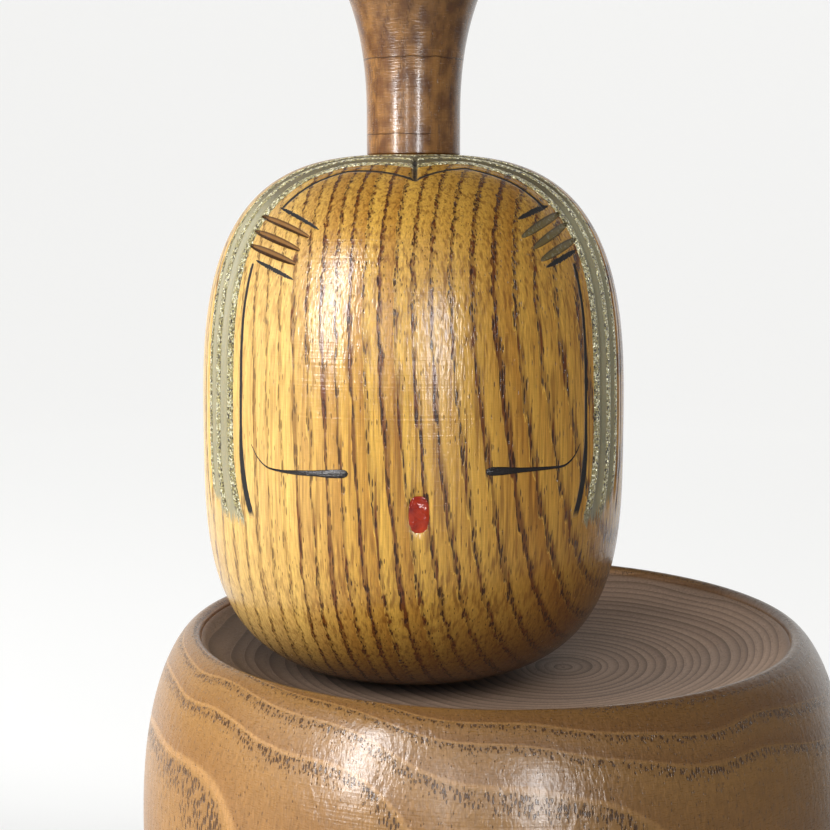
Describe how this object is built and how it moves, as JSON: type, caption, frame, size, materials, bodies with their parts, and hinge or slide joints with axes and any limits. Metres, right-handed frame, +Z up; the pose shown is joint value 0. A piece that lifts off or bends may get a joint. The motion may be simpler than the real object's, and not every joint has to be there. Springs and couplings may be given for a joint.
{
  "type": "kokeshi doll",
  "caption": "Turned wooden doll: a barrel head with a carved hair band, closed eyes and a flared topknot turns in the dished top of a wide drum body.",
  "frame": {"origin": "centre of the body's flat base, on the surface it stands on", "axes": "+Z up along the body's turning axis, the face looks along -Y, +X is to the viewer's right"},
  "size_m": [0.1156, 0.1156, 0.2451],
  "materials": {
    "honey_wood": "clear gloss over honey-coloured ring-porous wood, with a carved hair band in sage and gold",
    "stained_wood": "brown stain and clear coat over ring-porous wood, matte inside the dish",
    "plain_wood": "bare",
    "black_lacquer": "gloss lacquer",
    "red_lacquer": "gloss lacquer"
  },
  "bodies": {
    "body": {"body": "stained_wood", "neck_dowel": "plain_wood"},
    "head": {"head": "honey_wood", "topknot": "stained_wood", "left_eye_lacquer": "black_lacquer", "right_eye_lacquer": "black_lacquer", "mouth_lacquer": "red_lacquer"}
  },
  "joints": [
    {"name": "head_swivel", "type": "hinge", "parent": "body", "child": "head", "pos_m": [-0.0132, 0, 0.1067], "axis": [0, 0, 1], "continuous": true}
  ]
}
